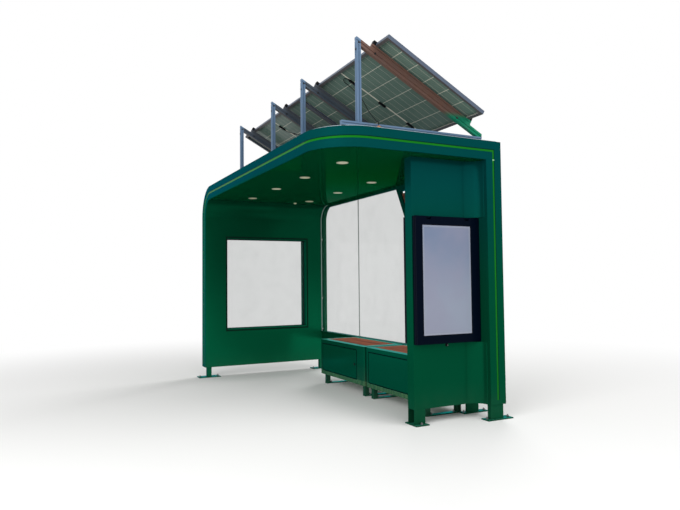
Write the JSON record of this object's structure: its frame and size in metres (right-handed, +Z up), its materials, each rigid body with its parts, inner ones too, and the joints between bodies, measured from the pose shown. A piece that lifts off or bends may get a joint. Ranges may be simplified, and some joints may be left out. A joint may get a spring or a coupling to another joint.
{
  "type": "bus shelter",
  "caption": "Bus shelter with a bent sheet-metal wall and roof, glass back, light box, bench boxes and a tilted solar plant on the roof.",
  "frame": {"origin": "on the ground under the middle of the whole shelter's bounding box", "axes": "+X along the shelter towards the light box, +Y from the open road side to the glass back, +Z up"},
  "size_m": [4.118, 1.98, 3.3664],
  "materials": {
    "green_paint": "glossy dark green sheet metal",
    "soffit_paint": "glossy green sheet metal, mirror smooth",
    "lime_stripe": "satin lime green",
    "roof_plate": "light grey sheet",
    "box_paint": "glossy black-blue sheet metal",
    "screen": "white translucent sheet",
    "lamp": "cream diffuser in a pale bezel",
    "clear_glass": "clear toughened glass",
    "steel": "galvanised steel",
    "aluminium": "extruded, mill finish",
    "bench_paint": "glossy teal green sheet metal",
    "seat_board": "red-brown streaked board",
    "infill_board": "brown board",
    "cells": "glass with dark half-cut cells and cream gaps",
    "black_plastic": "black",
    "gland_plastic": "orange-brown"
  },
  "bodies": {
    "shelter": {"far_wall": "green_paint", "far_bend": "green_paint", "roof_deck": "green_paint", "soffit_sheets": "soffit_paint", "front_fascia": "green_paint", "rear_fascia": "green_paint", "corner_fascia": "green_paint", "near_fascia": "green_paint", "post_face": "green_paint", "front_stripe": "lime_stripe", "near_stripe": "lime_stripe", "post_stripe": "lime_stripe", "roof_cover": "roof_plate", "downlights": "lamp", "sensor": "lamp", "window_lining": "green_paint", "window_pane": "clear_glass", "near_wall": "green_paint", "near_post": "green_paint", "far_feet": "green_paint", "near_foot": "green_paint", "post_foot": "green_paint", "rail_foot": "green_paint", "light_box_case": "box_paint", "light_box_hinge": "box_paint", "light_box_lock": "steel", "inner_frame": "box_paint", "inner_screen": "screen", "glass_channel": "green_paint", "bottom_rail": "green_paint", "glass_pane_far": "clear_glass", "glass_pane_near": "clear_glass", "rake_frame": "green_paint", "infill": "infill_board", "far_bench_box": "bench_paint", "far_bench_seat": "seat_board", "far_bench_legs": "bench_paint", "near_bench_box": "bench_paint", "near_bench_seat": "seat_board", "near_bench_legs": "bench_paint", "far_panel_frame": "aluminium", "far_panel_laminate": "cells", "near_panel_frame": "aluminium", "near_panel_laminate": "cells", "junction_boxes": "black_plastic", "mounting_rails": "aluminium", "support_beams": "aluminium", "support_struts": "aluminium", "base_beams": "aluminium", "end_clamps": "black_plastic", "cable_gland": "gland_plastic", "near_lead": "black_plastic", "far_lead": "black_plastic"},
    "light_box_door": {"light_box_door": "box_paint", "outer_screen": "screen"},
    "far_bench_door": {"far_bench_door": "bench_paint"},
    "near_bench_door": {"near_bench_door": "bench_paint"}
  },
  "joints": [
    {"name": "light_box_hinge_joint", "type": "hinge", "parent": "shelter", "child": "light_box_door", "pos_m": [1.8155, 0.3795, 1.8575], "axis": [0, -1, 0], "range_deg": [0, 80]},
    {"name": "far_bench_door_joint", "type": "hinge", "parent": "shelter", "child": "far_bench_door", "pos_m": [-0.699, 0.295, 0.3395], "axis": [0, 0, -1], "range_deg": [0, 90]},
    {"name": "near_bench_door_joint", "type": "hinge", "parent": "shelter", "child": "near_bench_door", "pos_m": [0.481, 0.295, 0.3395], "axis": [0, 0, -1], "range_deg": [0, 90]}
  ]
}
